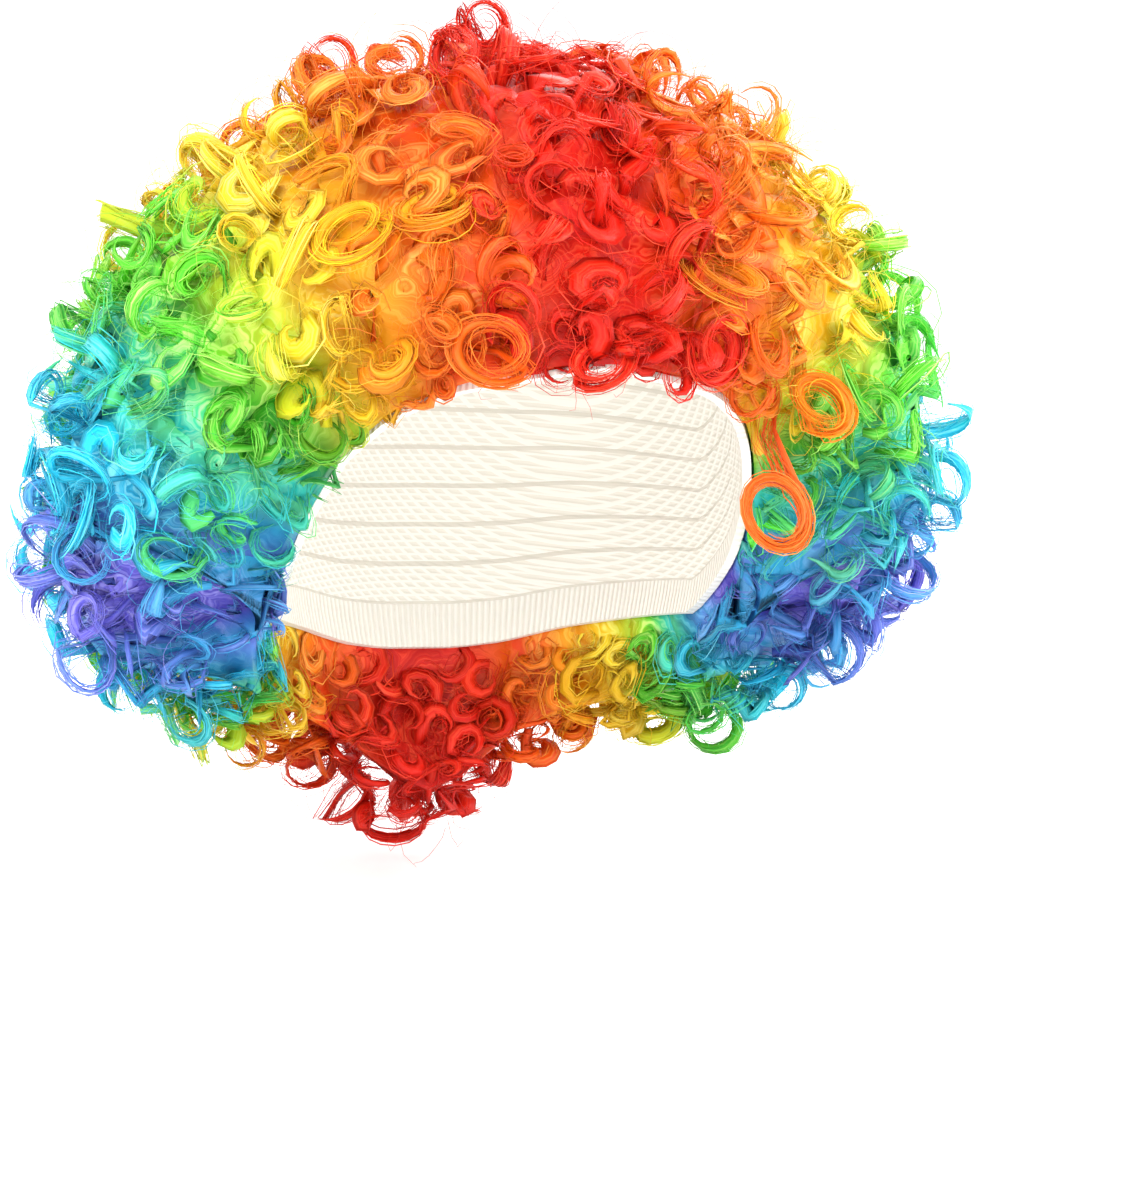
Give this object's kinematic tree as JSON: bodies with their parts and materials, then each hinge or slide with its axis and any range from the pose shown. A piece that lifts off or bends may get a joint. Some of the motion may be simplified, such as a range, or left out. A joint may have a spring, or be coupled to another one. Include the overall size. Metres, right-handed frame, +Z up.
{
  "type": "afro wig",
  "caption": "Rainbow afro wig: a hollow stretch cap covered in dense curled hair, in stripes that run from the forehead over the crown to the nape and ring the ears.",
  "frame": {"origin": "point inside the crown of the cap where it sits on top of the wearer's head", "axes": "+Z up, the wearer faces -Y, +X is the wearer's left"},
  "size_m": [0.3407, 0.2802, 0.3113],
  "materials": {
    "cap_knit": "matte stretch knit",
    "hair_red": "satin synthetic fibre",
    "hair_orange": "satin synthetic fibre",
    "hair_yellow": "satin synthetic fibre",
    "hair_green": "satin synthetic fibre",
    "hair_blue": "satin synthetic fibre",
    "hair_violet": "satin synthetic fibre"
  },
  "bodies": {
    "root": {"cap": "cap_knit", "hair_red": "hair_red", "hair_orange_left": "hair_orange", "hair_orange_right": "hair_orange", "hair_yellow_left": "hair_yellow", "hair_yellow_right": "hair_yellow", "hair_green_left": "hair_green", "hair_green_right": "hair_green", "hair_blue_left": "hair_blue", "hair_blue_right": "hair_blue", "hair_violet_left": "hair_violet", "hair_violet_right": "hair_violet"}
  },
  "joints": []
}
